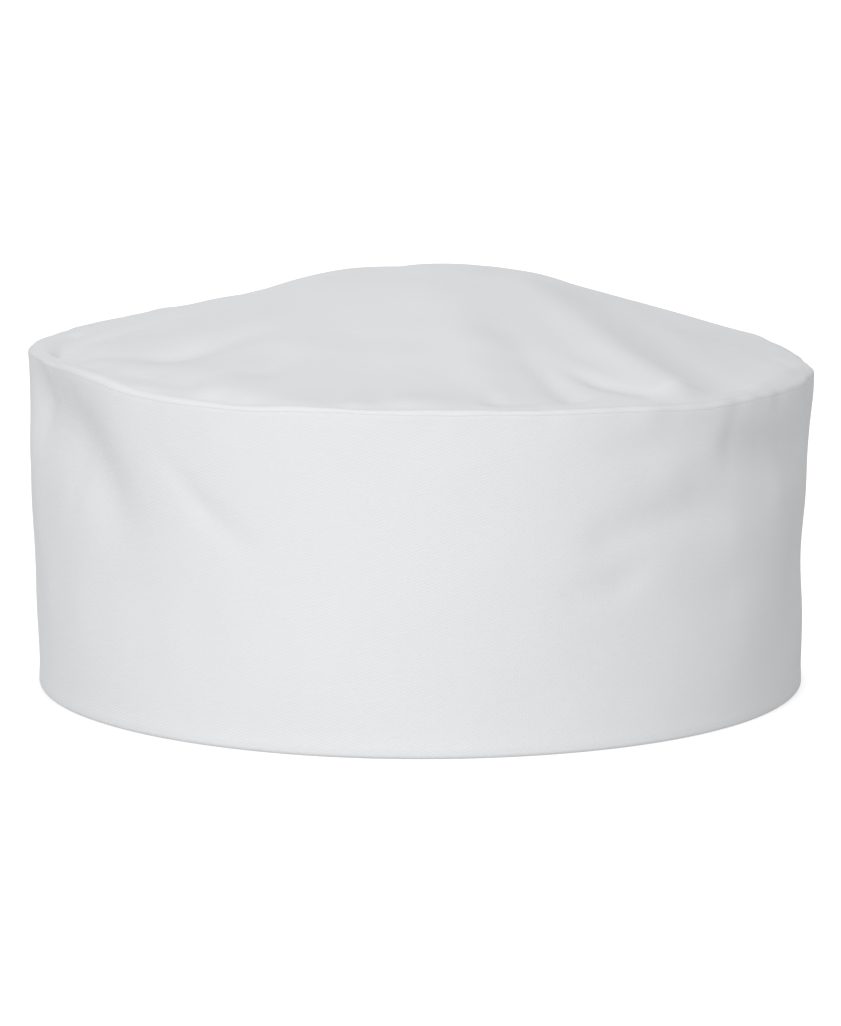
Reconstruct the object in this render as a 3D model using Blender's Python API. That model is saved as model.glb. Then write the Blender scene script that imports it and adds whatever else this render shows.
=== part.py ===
"""Chef's box cap: a doubled twill side band with a stiffener, a domed crown panel and a back adjuster.

Metres, +Z up. The origin is the centre of the hem's plane, and the front of the cap faces -Y.
The plan is an oval. Every round piece is turned about Z at a mean radius and then spread to the oval.
Places on the wall are given as (angle, height, offset): the angle from the centre back towards +X,
the height above the hem, and the offset outwards from the band's outer face.
"""

import math

import bmesh
import bpy
from mathutils import Vector

MM = 0.001

# Driving dimensions of the cap.
HALF_WIDTH = 94.5 * MM  # outer face of the band at the crown seam, along X
HALF_DEPTH = 99.5 * MM  # the same, along Y
OVAL_CENTRE_Y = -1.5 * MM  # with the tab behind it, the whole cap is then centred on the origin
BAND_HEIGHT = 78.5 * MM  # hem to crown seam
HEM_TAPER = 2 * MM  # the hem's radius is this much less than the seam's
CROWN_PITCH = math.radians(14.5)  # fall of the crown's straight flank
CROWN_TOP_RADIUS = 120 * MM  # roundness of the crown's top, which the wearer's head gives
CROWN_EDGE_RADIUS = 1.0 * MM  # roll of the crown over its seam
CROWN_FOLD_RADIUS = 0.5 * MM  # turn of the crown's edge into the seam
HEM_CORNER = 0.45 * MM  # roundness of the hem's two edges

# Thicknesses of the cloth layers, and the play between pieces.
PLY = 0.6 * MM
STIFFENER_PLY = 0.5 * MM
TAPE_PLY = 0.5 * MM
TERRY_PLY = 1.0 * MM
LABEL_PLY = 0.4 * MM
GAP = 0.3 * MM
WALL = 2 * PLY + STIFFENER_PLY + 2 * GAP
SEAM_ALLOWANCE = 8 * MM
THREAD_RADIUS = 0.2 * MM
STITCH_INSET = 1.5 * MM  # from a cloth edge to its row of stitching
TAPE_STITCH_INSET = 1.2 * MM  # the same on the hook and loop tapes

# Seam tape, sweatband and label, inside the band.
SEAM_TAPE_SHORT_LEG = 3 * MM  # how far the tape's hidden leg stops below its visible one
SWEATBAND_LOW, SWEATBAND_HIGH = 3 * MM, 33 * MM
SWEATBAND_TO_BINDING = 3 * MM
LABEL_ARCS = (50 * MM, 84 * MM)
LABEL_LOW = 38 * MM

# The arched opening at the centre back, and its binding.
ARCH_HALF_WIDTH = 28 * MM
ARCH_STRAIGHT = 17 * MM  # height at which the round top begins
BINDING_LEG = 6 * MM

# The adjuster tab, with arcs along the wall from the centre back, towards +X.
TAB_LOW, TAB_HIGH = 3 * MM, 27 * MM
TAB_PLY = 1.3 * MM  # two plies of twill, sewn and turned
TAB_ROOT_ARCS = (42 * MM, 58 * MM)
TAB_START, TAB_END = 40.4 * MM, -80 * MM
TAB_CORNER = 7 * MM  # radius of the tab's free corners
TAB_TIP_SHARES = (0.75, 0.45, 0.2, 0.04)  # cross sections through the rounded tip
TAB_INNER_START = 0.5 * MM  # offset of the tab's inner face beside its sewn root
TAB_OVER_BINDING = 1.2 * MM  # the same where the tab passes the arch's binding
TAB_BINDING_ARC = 35 * MM
HINGE_ARC = 41.2 * MM
HINGE_LIFT = 0.5 * MM  # height of the fold line above the tab's outer face
HINGE_OFFSET = TAB_OVER_BINDING + TAB_PLY + HINGE_LIFT
LOOP_ARCS, LOOP_PLY = (-90 * MM, -38 * MM), 1.0 * MM
LOOP_LOW, LOOP_HIGH = 3.5 * MM, 26.5 * MM
HOOK_ARCS, HOOK_PLY = (-72 * MM, -44 * MM), 0.9 * MM
HOOK_LOW, HOOK_HIGH = 6.5 * MM, 23.5 * MM

# How finely curves are divided.
ROUND_SEGMENTS = 64
ARC_STEP = 5 * MM
ARCH_SEGMENTS = 14

MEAN_RADIUS = (HALF_WIDTH + HALF_DEPTH) / 2
TWILL, TERRY, TAPE = (0.86, 0.87, 0.88), (0.88, 0.88, 0.87), (0.84, 0.85, 0.86)
STIFFENER, LABEL, THREAD = (0.80, 0.80, 0.78), (0.90, 0.90, 0.90), (0.92, 0.92, 0.92)


def clear_scene():
    for obj in list(bpy.data.objects):
        bpy.data.objects.remove(obj)


def material(name, colour, roughness):
    made = bpy.data.materials.get(name) or bpy.data.materials.new(name)
    made.use_nodes = True
    shader = made.node_tree.nodes["Principled BSDF"]
    shader.inputs["Base Color"].default_value = (*colour, 1)
    shader.inputs["Roughness"].default_value = roughness
    shader.inputs["Metallic"].default_value = 0
    return made


def add_object(name, data, finish, parent=None):
    obj = bpy.data.objects.new(name, data)
    bpy.context.scene.collection.objects.link(obj)
    obj.data.materials.append(finish)
    if parent:
        obj.parent = parent
        obj.matrix_parent_inverse = parent.matrix_basis.inverted()
    return obj


def wall_radius(height):
    """Mean radius of the band's outer face at a height above the hem."""
    return MEAN_RADIUS - HEM_TAPER * (1 - height / BAND_HEIGHT)


def oval_point(angle, radius, height):
    """The point at a mean radius, spread to the oval; the angle runs from the back towards +X."""
    across = radius * HALF_WIDTH / MEAN_RADIUS * math.sin(angle)
    along = radius * HALF_DEPTH / MEAN_RADIUS * math.cos(angle)
    return Vector((across, along + OVAL_CENTRE_Y, height))


def wall_point(angle, height, offset):
    return oval_point(angle, wall_radius(height) + offset, height)


def angle_at(arc):
    """The angle of a place near the centre back, from its distance along the wall."""
    return arc / HALF_WIDTH


def circle_point(centre, radius, turn):
    """The point of a circle in the plane at an angle in radians."""
    return (centre[0] + radius * math.cos(turn), centre[1] + radius * math.sin(turn))


def arc_points(centre, radius, start, end, steps):
    """Evenly spaced points of a circular arc in the plane."""
    turns = [start + (end - start) * i / steps for i in range(steps + 1)]
    return [circle_point(centre, radius, turn) for turn in turns]


def ribbon(path, thickness):
    """The closed outline of a strip of that thickness along a path in the plane."""
    left, right = [], []
    for i, point in enumerate(path):
        before, after = path[max(i - 1, 0)], path[min(i + 1, len(path) - 1)]
        here = Vector(point)
        ways = [w.normalized() for w in (here - Vector(before), Vector(after) - here) if w.length]
        along = sum(ways, Vector((0, 0))).normalized()
        normal = Vector((-along.y, along.x))
        reach = thickness / 2 / max(abs(along.dot(ways[0])), 0.5)
        left.append(tuple(here + normal * reach))
        right.append(tuple(here - normal * reach))
    return left + right[::-1]


def mesh_from(name, points, faces):
    mesh = bpy.data.meshes.new(name)
    mesh.from_pydata(points, [], faces)
    work = bmesh.new()
    work.from_mesh(mesh)
    bmesh.ops.recalc_face_normals(work, faces=work.faces)
    work.to_mesh(mesh)
    work.free()
    mesh.shade_smooth()
    mesh.set_sharp_from_angle(angle=math.radians(40))
    return mesh


def turned(name, outline):
    """A closed outline of (mean radius, height) points turned about Z; a zero radius is a pole."""
    points, rings = [], []
    for radius, height in outline:
        if radius < GAP / 10:
            rings.append([len(points)] * ROUND_SEGMENTS)
            points.append(Vector((0, OVAL_CENTRE_Y, height)))
            continue
        rings.append(list(range(len(points), len(points) + ROUND_SEGMENTS)))
        points += [
            oval_point(2 * math.pi * k / ROUND_SEGMENTS, radius, height)
            for k in range(ROUND_SEGMENTS)
        ]
    faces = []
    for i, ring in enumerate(rings):
        other = rings[(i + 1) % len(rings)]
        for k in range(ROUND_SEGMENTS):
            face = [ring[k], ring[k - 1], other[k - 1], other[k]]
            face = list(dict.fromkeys(face))
            if len(face) > 2:
                faces.append(face)
    return mesh_from(name, points, faces)


def lofted(name, sections):
    """A solid through a row of sections with the same number of points, capped at both ends."""
    count = len(sections[0])
    points = [p for section in sections for p in section]
    faces = [list(range(count)), [len(points) - 1 - k for k in range(count)]]
    for i in range(len(sections) - 1):
        a, b = i * count, (i + 1) * count
        faces += [[a + k, a + (k + 1) % count, b + (k + 1) % count, b + k] for k in range(count)]
    return mesh_from(name, points, faces)


def steps_between(start, end, step):
    """Evenly spaced values from start to end, about a step apart."""
    count = max(1, round(abs(end - start) / step))
    return [start + (end - start) * i / count for i in range(count + 1)]


def wall_slab(name, angles, low, high, inner, outer):
    """A slab that follows the wall. low, high, inner and outer are functions of the angle."""
    return lofted(
        name,
        [
            [
                wall_point(a, low(a), inner(a)),
                wall_point(a, high(a), inner(a)),
                wall_point(a, high(a), outer(a)),
                wall_point(a, low(a), outer(a)),
            ]
            for a in angles
        ],
    )


def plain_slab(name, arcs, low, high, inner, outer):
    """A wall slab with straight edges and one thickness, between two arcs near the back."""
    angles = [angle_at(arc) for arc in steps_between(*arcs, ARC_STEP)]
    return wall_slab(
        name, angles, lambda a: low, lambda a: high, lambda a: inner, lambda a: outer
    )


def thread(name, points, finish, closed=False, parent=None):
    """A line of stitching as one continuous thread along the given points."""
    curve = bpy.data.curves.new(name, "CURVE")
    curve.dimensions = "3D"
    curve.bevel_depth = THREAD_RADIUS
    curve.bevel_resolution = 1
    curve.use_fill_caps = not closed
    spline = curve.splines.new("POLY")
    spline.points.add(len(points) - 1)
    for place, point in zip(spline.points, points):
        place.co = (*point, 1)
    spline.use_cyclic_u = closed
    return add_object(name, curve, finish, parent)


def stitched_box(arcs, low, high, offset):
    """Points of a rectangle of stitching on the wall, with the offset a function of the angle."""
    start, end = angle_at(arcs[0]), angle_at(arcs[1])
    turns = [angle_at(arc) for arc in steps_between(*arcs, ARC_STEP)]
    bottom = [wall_point(a, low, offset(a)) for a in turns]
    top = [wall_point(a, high, offset(a)) for a in reversed(turns)]
    middle = (low + high) / 2
    return [
        *bottom,
        wall_point(end, middle, offset(end)),
        *top,
        wall_point(start, middle, offset(start)),
    ]


def crown_path():
    """Middle of the crown's cloth from its top, over its edge and down inside as seam allowance."""
    rim = MEAN_RADIUS - PLY / 2
    fold = CROWN_FOLD_RADIUS
    fold_height = BAND_HEIGHT + GAP + PLY / 2 + fold
    roll_centre = (rim - CROWN_EDGE_RADIUS, fold_height)
    flank_turn = math.pi / 2 - CROWN_PITCH
    flank_end = circle_point(roll_centre, CROWN_EDGE_RADIUS, flank_turn)
    contact = CROWN_TOP_RADIUS * math.sin(CROWN_PITCH)
    contact_height = flank_end[1] + (flank_end[0] - contact) * math.tan(CROWN_PITCH)
    top_centre = (0, contact_height - CROWN_TOP_RADIUS * math.cos(CROWN_PITCH))
    inside = MEAN_RADIUS - WALL - 2 * GAP - TAPE_PLY - PLY / 2
    return [
        *arc_points(top_centre, CROWN_TOP_RADIUS, math.pi / 2, flank_turn, 3),
        *arc_points(roll_centre, CROWN_EDGE_RADIUS, flank_turn, 0, 3),
        *arc_points((rim - fold, fold_height), fold, 0, -math.pi / 2, 2)[1:],
        (inside + fold, fold_height - fold),
        *arc_points((inside + fold, fold_height - 2 * fold), fold, math.pi / 2, math.pi, 2)[1:],
        (inside, BAND_HEIGHT - SEAM_ALLOWANCE),
    ]


def band_path():
    """Middle of the band's cloth: the outer ply down to the hem's fold, and the inner ply up."""
    corner = HEM_CORNER
    top = BAND_HEIGHT - PLY / 2
    outer_hem = wall_radius(0) - PLY / 2
    inner_hem = wall_radius(0) - WALL + PLY / 2
    bend = PLY / 2 + corner
    return [
        (wall_radius(top) - PLY / 2, top),
        (wall_radius(top / 2) - PLY / 2, top / 2),
        *arc_points((outer_hem - corner, bend), corner, 0, -math.pi / 2, 2),
        *arc_points((inner_hem + corner, bend), corner, -math.pi / 2, -math.pi, 2),
        (wall_radius(top / 2) - WALL + PLY / 2, top / 2),
        (wall_radius(top) - WALL + PLY / 2, top),
    ]


def arch_outline(end_height):
    """(arc, height, into the cloth) along the arch's edge, from -X to +X."""
    sides = steps_between(end_height, ARCH_STRAIGHT, ARC_STEP)[:-1]
    turns = [math.pi * (1 - i / ARCH_SEGMENTS) for i in range(ARCH_SEGMENTS + 1)]
    top = [
        (
            ARCH_HALF_WIDTH * math.cos(t),
            ARCH_STRAIGHT + ARCH_HALF_WIDTH * math.sin(t),
            (math.cos(t), math.sin(t)),
        )
        for t in turns
    ]
    left = [(-ARCH_HALF_WIDTH, h, (-1, 0)) for h in sides]
    right = [(ARCH_HALF_WIDTH, h, (1, 0)) for h in reversed(sides)]
    return [*left, *top, *right]


def arch_point(edge, inwards, offset):
    """A point on the wall at a distance into the cloth from a place on the arch's edge."""
    arc, height, (across, up) = edge
    return wall_point(angle_at(arc + inwards * across), height + inwards * up, offset)


def arch_cutter():
    """The solid that opens the arch through every layer of the band."""
    reach = 8 * MM
    edge = arch_outline(-reach)
    inside = [arch_point(place, 0, -WALL - reach) for place in edge]
    outside = [arch_point(place, 0, reach) for place in edge]
    cutter = bpy.data.objects.new("arch_cutter", lofted("arch_cutter", [inside, outside]))
    bpy.context.scene.collection.objects.link(cutter)
    cutter.hide_render = True
    cutter.display_type = "WIRE"
    return cutter


def open_arch(obj, cutter):
    cut = obj.modifiers.new("arch", "BOOLEAN")
    cut.operation = "DIFFERENCE"
    cut.solver = "EXACT"
    cut.object = cutter


def make_band(twill, stiffener, cutter):
    band = add_object("side_band", turned("side_band", ribbon(band_path(), PLY)), twill)
    open_arch(band, cutter)
    outer = PLY + GAP
    low, high = PLY + GAP, BAND_HEIGHT - PLY
    outline = [
        (wall_radius(low) - outer - STIFFENER_PLY, low),
        (wall_radius(low) - outer, low),
        (wall_radius(high) - outer, high),
        (wall_radius(high) - outer - STIFFENER_PLY, high),
    ]
    inlay = add_object("band_interfacing", turned("band_interfacing", outline), stiffener)
    open_arch(inlay, cutter)


def make_crown(twill):
    outline = ribbon(crown_path(), PLY)
    outline = [(0.0 if radius < PLY else radius, height) for radius, height in outline]
    add_object("crown_panel", turned("crown_panel", outline), twill)


def make_seam_tape(tape, cotton):
    """Bias tape folded round the crown's seam allowance, and the thread that holds it."""
    outer = MEAN_RADIUS - WALL - GAP - TAPE_PLY / 2
    inner = outer - TAPE_PLY - PLY - 2 * GAP
    low = BAND_HEIGHT - SEAM_ALLOWANCE - GAP - TAPE_PLY / 2
    high = BAND_HEIGHT - 2 * GAP - PLY
    path = [(outer, high - SEAM_TAPE_SHORT_LEG), (outer, low), (inner, low), (inner, high)]
    add_object("crown_seam_tape", turned("crown_seam_tape", ribbon(path, TAPE_PLY)), tape)
    radius = inner - TAPE_PLY / 2 - GAP - THREAD_RADIUS
    height = low + STITCH_INSET
    ring = [
        oval_point(2 * math.pi * k / ROUND_SEGMENTS, radius, height)
        for k in range(ROUND_SEGMENTS)
    ]
    thread("seam_tape_thread", ring, cotton, closed=True)


def make_sweatband(terry, cotton):
    """The absorbent strip inside the band, from one side of the arch round to the other."""
    start = angle_at(ARCH_HALF_WIDTH + BINDING_LEG + SWEATBAND_TO_BINDING)
    angles = steps_between(start, 2 * math.pi - start, 2 * math.pi / ROUND_SEGMENTS)
    outer = -WALL - GAP
    inner = outer - TERRY_PLY
    strip = wall_slab(
        "sweatband",
        angles,
        lambda a: SWEATBAND_LOW,
        lambda a: SWEATBAND_HIGH,
        lambda a: inner,
        lambda a: outer,
    )
    add_object("sweatband", strip, terry)
    offset = inner - GAP - THREAD_RADIUS
    rows = {"lower": SWEATBAND_LOW + STITCH_INSET, "upper": SWEATBAND_HIGH - STITCH_INSET}
    for side, height in rows.items():
        line = [wall_point(a, height, offset) for a in angles[1:-1]]
        thread(f"sweatband_thread_{side}", line, cotton)


def make_binding(tape, cotton):
    """Bias binding folded over the arch's cut edge, and its row of stitching."""
    edge = arch_outline(PLY)
    out, back = GAP, -WALL - GAP
    section = [
        (BINDING_LEG, out + TAPE_PLY),
        (-GAP - TAPE_PLY, out + TAPE_PLY),
        (-GAP - TAPE_PLY, back - TAPE_PLY),
        (BINDING_LEG, back - TAPE_PLY),
        (BINDING_LEG, back),
        (-GAP, back),
        (-GAP, out),
        (BINDING_LEG, out),
    ]
    sections = [[arch_point(place, n, offset) for n, offset in section] for place in edge]
    add_object("arch_binding", lofted("arch_binding", sections), tape)
    above = out + TAPE_PLY + GAP + THREAD_RADIUS
    visible = [place for place in edge if place[1] > TAB_HIGH]
    line = [arch_point(place, BINDING_LEG - STITCH_INSET, above) for place in visible]
    thread("arch_binding_thread", line, cotton)


def make_label(label, cotton):
    """The blank care label, hanging below the seam tape on the inside."""
    outer = -WALL - GAP
    high = BAND_HEIGHT - SEAM_ALLOWANCE - 2 * GAP - TAPE_PLY
    slab = plain_slab("care_label", LABEL_ARCS, LABEL_LOW, high, outer - LABEL_PLY, outer)
    add_object("care_label", slab, label)
    arcs = (LABEL_ARCS[0] + STITCH_INSET, LABEL_ARCS[1] - STITCH_INSET)
    offset = outer - LABEL_PLY - GAP - THREAD_RADIUS
    turns = [angle_at(arc) for arc in steps_between(*arcs, ARC_STEP)]
    line = [wall_point(a, high - STITCH_INSET, offset) for a in turns]
    thread("care_label_thread", line, cotton)


def tab_inner(angle):
    """Offset of the tab's inner face: close to the band at its root, above the tapes at its tip."""
    start, binding, tapes = map(angle_at, (TAB_START, TAB_BINDING_ARC, LOOP_ARCS[1]))
    if angle > binding:
        share = (start - angle) / (start - binding)
        return TAB_INNER_START + (TAB_OVER_BINDING - TAB_INNER_START) * share
    over_tapes = 3 * GAP + LOOP_PLY + HOOK_PLY
    share = min(1, (binding - angle) / (binding - tapes))
    return TAB_OVER_BINDING + (over_tapes - TAB_OVER_BINDING) * share


def tab_trim(arc):
    """How much the tab's rounded tip takes off each edge at an arc."""
    into = TAB_CORNER - (arc - TAB_END)
    if into <= 0:
        return 0
    return TAB_CORNER - math.sqrt(max(TAB_CORNER**2 - into**2, 0))


def make_tab_root(twill, cotton):
    """The sewn end of the adjuster tab, with its box of stitching through the band."""
    slab = plain_slab("adjuster_tab_root", TAB_ROOT_ARCS, TAB_LOW, TAB_HIGH, GAP, GAP + TAB_PLY)
    add_object("adjuster_tab_root", slab, twill)
    above = 2 * GAP + TAB_PLY + THREAD_RADIUS
    arcs = (TAB_ROOT_ARCS[0] + STITCH_INSET, TAB_ROOT_ARCS[1] - STITCH_INSET)
    low, high = TAB_LOW + STITCH_INSET, TAB_HIGH - STITCH_INSET
    thread("tab_root_thread", stitched_box(arcs, low, high, lambda a: above), cotton, closed=True)


def make_loop_tape(tape, cotton):
    """Loop tape sewn on the band beside the arch."""
    low, high = LOOP_LOW, LOOP_HIGH
    slab = plain_slab("loop_tape", LOOP_ARCS, low, high, GAP, GAP + LOOP_PLY)
    add_object("loop_tape", slab, tape)
    inset = TAPE_STITCH_INSET
    arcs = (LOOP_ARCS[0] + inset, LOOP_ARCS[1] - inset)
    above = 2 * GAP + LOOP_PLY + THREAD_RADIUS
    points = stitched_box(arcs, low + inset, high - inset, lambda a: above)
    thread("loop_tape_thread", points, cotton, closed=True)


def tab_thread_point(arc, height):
    """A point of the stitching on the tab's outer face."""
    offset = tab_inner(angle_at(arc)) + TAB_PLY + GAP + THREAD_RADIUS
    return wall_point(angle_at(arc), height, offset)


def make_tab(twill, pivot):
    """The free part of the tab, from its fold line to its rounded tip."""
    tip = [TAB_END + TAB_CORNER * share for share in TAB_TIP_SHARES]
    arcs = [*steps_between(TAB_START, TAB_END + TAB_CORNER, ARC_STEP), *tip]
    slab = wall_slab(
        "adjuster_tab",
        [angle_at(arc) for arc in arcs],
        lambda a: TAB_LOW + tab_trim(a * HALF_WIDTH),
        lambda a: TAB_HIGH - tab_trim(a * HALF_WIDTH),
        tab_inner,
        lambda a: tab_inner(a) + TAB_PLY,
    )
    add_object("adjuster_tab", slab, twill, pivot)


def make_tab_edge_thread(cotton, pivot):
    """The topstitching along the tab's edges and round its tip."""
    arcs = steps_between(TAB_START - 2 * STITCH_INSET, TAB_END + TAB_CORNER, ARC_STEP)
    across, corner = arcs[-1], TAB_CORNER - STITCH_INSET
    low, high = (across, TAB_LOW + TAB_CORNER), (across, TAB_HIGH - TAB_CORNER)
    line = [
        *((arc, TAB_LOW + STITCH_INSET) for arc in arcs),
        *arc_points(low, corner, -math.pi / 2, -math.pi, 4)[1:],
        (across - corner, (TAB_LOW + TAB_HIGH) / 2),
        *arc_points(high, corner, math.pi, math.pi / 2, 4)[:-1],
        *((arc, TAB_HIGH - STITCH_INSET) for arc in reversed(arcs)),
    ]
    points = [tab_thread_point(arc, height) for arc, height in line]
    thread("tab_edge_thread", points, cotton, parent=pivot)


def make_hook_tape(tape, cotton, pivot):
    """Hook tape inside the tab's free end. Its stitching shows on the tab's outer face."""
    outer = 2 * GAP + LOOP_PLY + HOOK_PLY
    slab = plain_slab("hook_tape", HOOK_ARCS, HOOK_LOW, HOOK_HIGH, outer - HOOK_PLY, outer)
    add_object("hook_tape", slab, tape, pivot)
    inset = TAPE_STITCH_INSET
    arcs = (HOOK_ARCS[0] + inset, HOOK_ARCS[1] - inset)
    points = stitched_box(
        arcs,
        HOOK_LOW + inset,
        HOOK_HIGH - inset,
        lambda a: tab_inner(a) + TAB_PLY + GAP + THREAD_RADIUS,
    )
    thread("hook_tape_thread", points, cotton, closed=True, parent=pivot)


def make_adjuster_tab(twill, tape, cotton):
    """Everything that peels off with the tab, parented to an empty on the fold line."""
    pivot = bpy.data.objects.new("tab_fold", None)
    pivot.location = wall_point(angle_at(HINGE_ARC), (TAB_LOW + TAB_HIGH) / 2, HINGE_OFFSET)
    bpy.context.scene.collection.objects.link(pivot)
    make_tab(twill, pivot)
    make_tab_edge_thread(cotton, pivot)
    make_hook_tape(tape, cotton, pivot)


def main():
    clear_scene()
    twill = material("twill", TWILL, 0.9)
    terry = material("terry", TERRY, 0.95)
    tape = material("tape", TAPE, 0.8)
    stiffener = material("stiffener", STIFFENER, 0.9)
    label = material("label", LABEL, 0.5)
    cotton = material("thread", THREAD, 0.6)
    cutter = arch_cutter()
    make_band(twill, stiffener, cutter)
    make_crown(twill)
    make_seam_tape(tape, cotton)
    make_sweatband(terry, cotton)
    make_binding(tape, cotton)
    make_label(label, cotton)
    make_tab_root(twill, cotton)
    make_loop_tape(tape, cotton)
    make_adjuster_tab(twill, tape, cotton)


main()
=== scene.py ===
"""The finished look of the chef's box cap: twill, tapes, stitches and hook-and-loop, around the CAD frame.

Metres, +Z up, the cap's front towards -Y. Cloth is laid out in the wall's own terms, as in the CAD:
an angle from the centre back towards +X, a height above the hem, and an offset outwards from the
band's outer face. Creases are lines given in millimetres, on the wall and on the crown.
"""

import math

import bpy
import numpy as np
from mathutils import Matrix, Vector


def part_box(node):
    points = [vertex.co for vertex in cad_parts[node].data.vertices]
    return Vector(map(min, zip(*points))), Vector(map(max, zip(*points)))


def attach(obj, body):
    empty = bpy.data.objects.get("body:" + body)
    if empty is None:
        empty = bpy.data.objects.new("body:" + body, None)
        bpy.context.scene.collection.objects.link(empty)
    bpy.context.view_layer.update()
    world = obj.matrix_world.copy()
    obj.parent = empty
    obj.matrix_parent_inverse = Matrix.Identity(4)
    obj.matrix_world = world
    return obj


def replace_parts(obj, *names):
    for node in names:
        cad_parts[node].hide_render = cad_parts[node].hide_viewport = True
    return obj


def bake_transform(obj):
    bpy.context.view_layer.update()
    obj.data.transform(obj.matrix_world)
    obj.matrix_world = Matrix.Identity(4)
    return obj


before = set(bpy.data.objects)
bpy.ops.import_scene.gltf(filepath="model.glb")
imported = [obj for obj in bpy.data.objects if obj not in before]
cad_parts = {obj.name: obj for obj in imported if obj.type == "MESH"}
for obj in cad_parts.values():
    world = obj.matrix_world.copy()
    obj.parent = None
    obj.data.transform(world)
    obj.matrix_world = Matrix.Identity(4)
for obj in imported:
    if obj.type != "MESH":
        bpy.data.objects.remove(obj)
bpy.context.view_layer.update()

MM = 0.001

# The cap's own dimensions, from the CAD solids.
CROWN_LOW, CROWN_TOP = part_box("crown_panel")
BAND_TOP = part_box("side_band")[1].z
HALF_WIDTH = (CROWN_TOP.x - CROWN_LOW.x) / 2
HALF_DEPTH = (CROWN_TOP.y - CROWN_LOW.y) / 2
CENTRE_Y = (CROWN_TOP.y + CROWN_LOW.y) / 2
MEAN_RADIUS = (HALF_WIDTH + HALF_DEPTH) / 2
HEM_TAPER = 2 * MM

# Cloth thicknesses and layers, as the CAD has them.
PLY = 0.6 * MM
STIFFENER_PLY = 0.5 * MM
TAPE_PLY = 0.5 * MM
TERRY_PLY = 1.0 * MM
LABEL_PLY = 0.35 * MM
GAP = 0.3 * MM
WALL = 2 * PLY + STIFFENER_PLY + 2 * GAP
SEAM_ALLOWANCE = 8 * MM
TAB_PLY = 1.3 * MM
BAND_HEIGHT = BAND_TOP + PLY / 2

# The band stands a little taller on its -X side than on its +X side.
SEAM_TILT = 1.8 * MM

# How the crown seam drifts off its level: (degrees round from the front, mm).
SEAM_DRIFT = (
    (-150, 0), (-125, -0.8), (-105, -0.8), (-88, 0), (-72, 0.6), (-58, 0.8), (-49, 0.3), (-42, -0.6),
    (-25, -0.4), (-12, 0.5), (0, 0.4), (15, 0.6), (25, 0.9), (33, 0.5), (40, -0.3), (52, -0.7),
    (60, -0.5), (75, -0.6), (90, -1.0), (110, -1.1), (130, -0.6), (150, 0),
)

# Plumpness of the crown's roll over the seam: (degrees round from the front, share).
ROLL_PLUMPNESS = (
    (-120, 1.0), (-75, 1.2), (-48, 1.6), (-28, 1.1), (-14, 0.85), (0, 0.8), (22, 0.85), (33, 1.1),
    (50, 1.1), (70, 1.0), (120, 1.0),
)

BACK_JOIN_DEPTH = 0.45 * MM  # of the crease where the strip's ends are joined, at the centre back

# The arch at the back.
ARCH_HALF_WIDTH = 28 * MM
ARCH_STRAIGHT = 17 * MM
BINDING_LEG = 6 * MM
SNUG = 0.1 * MM  # play between a tape and the cloth it is folded over
STITCH_INSET = 1.5 * MM
TAPE_STITCH_INSET = 1.2 * MM  # the same on the hook and loop tapes

# Places of the inner pieces and of the adjuster, as the CAD has them.
SWEATBAND_LOW, SWEATBAND_HIGH = 3 * MM, 33 * MM
SWEATBAND_START = 37 * MM
LABEL_ARCS = (50 * MM, 84 * MM)
LABEL_LOW, LABEL_HIGH = 38 * MM, 69.4 * MM
TAB_LOW, TAB_HIGH = 3 * MM, 27 * MM
STRAP_START, STRAP_END = 58 * MM, -80 * MM
STRAP_CORNER = 7 * MM
ROOT_ARCS = (43.5 * MM, 56.5 * MM)
FOLD_ARCS = (43.2 * MM, 39.2 * MM)
LOOP_ARCS, LOOP_LOW, LOOP_HIGH = (-90 * MM, -38 * MM), 3.5 * MM, 26.5 * MM
HOOK_ARCS, HOOK_LOW, HOOK_HIGH = (-72 * MM, -44 * MM), 6.5 * MM, 23.5 * MM
HOOK_BACKING, LOOP_BACKING = 2.3 * MM, 0.35 * MM  # offsets of the tapes' woven backings
BACKING_PLY = 0.35 * MM

# Middle of the strap over the wall: (arc, offset) in mm, from its sewn root to its tip.
STRAP_RISE = ((-80, 2.75), (-74, 3.2), (-38, 3.2), (-30, 3.05), (30, 2.0), (35, 1.8), (42, 0.95), (58, 0.85))

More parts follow.
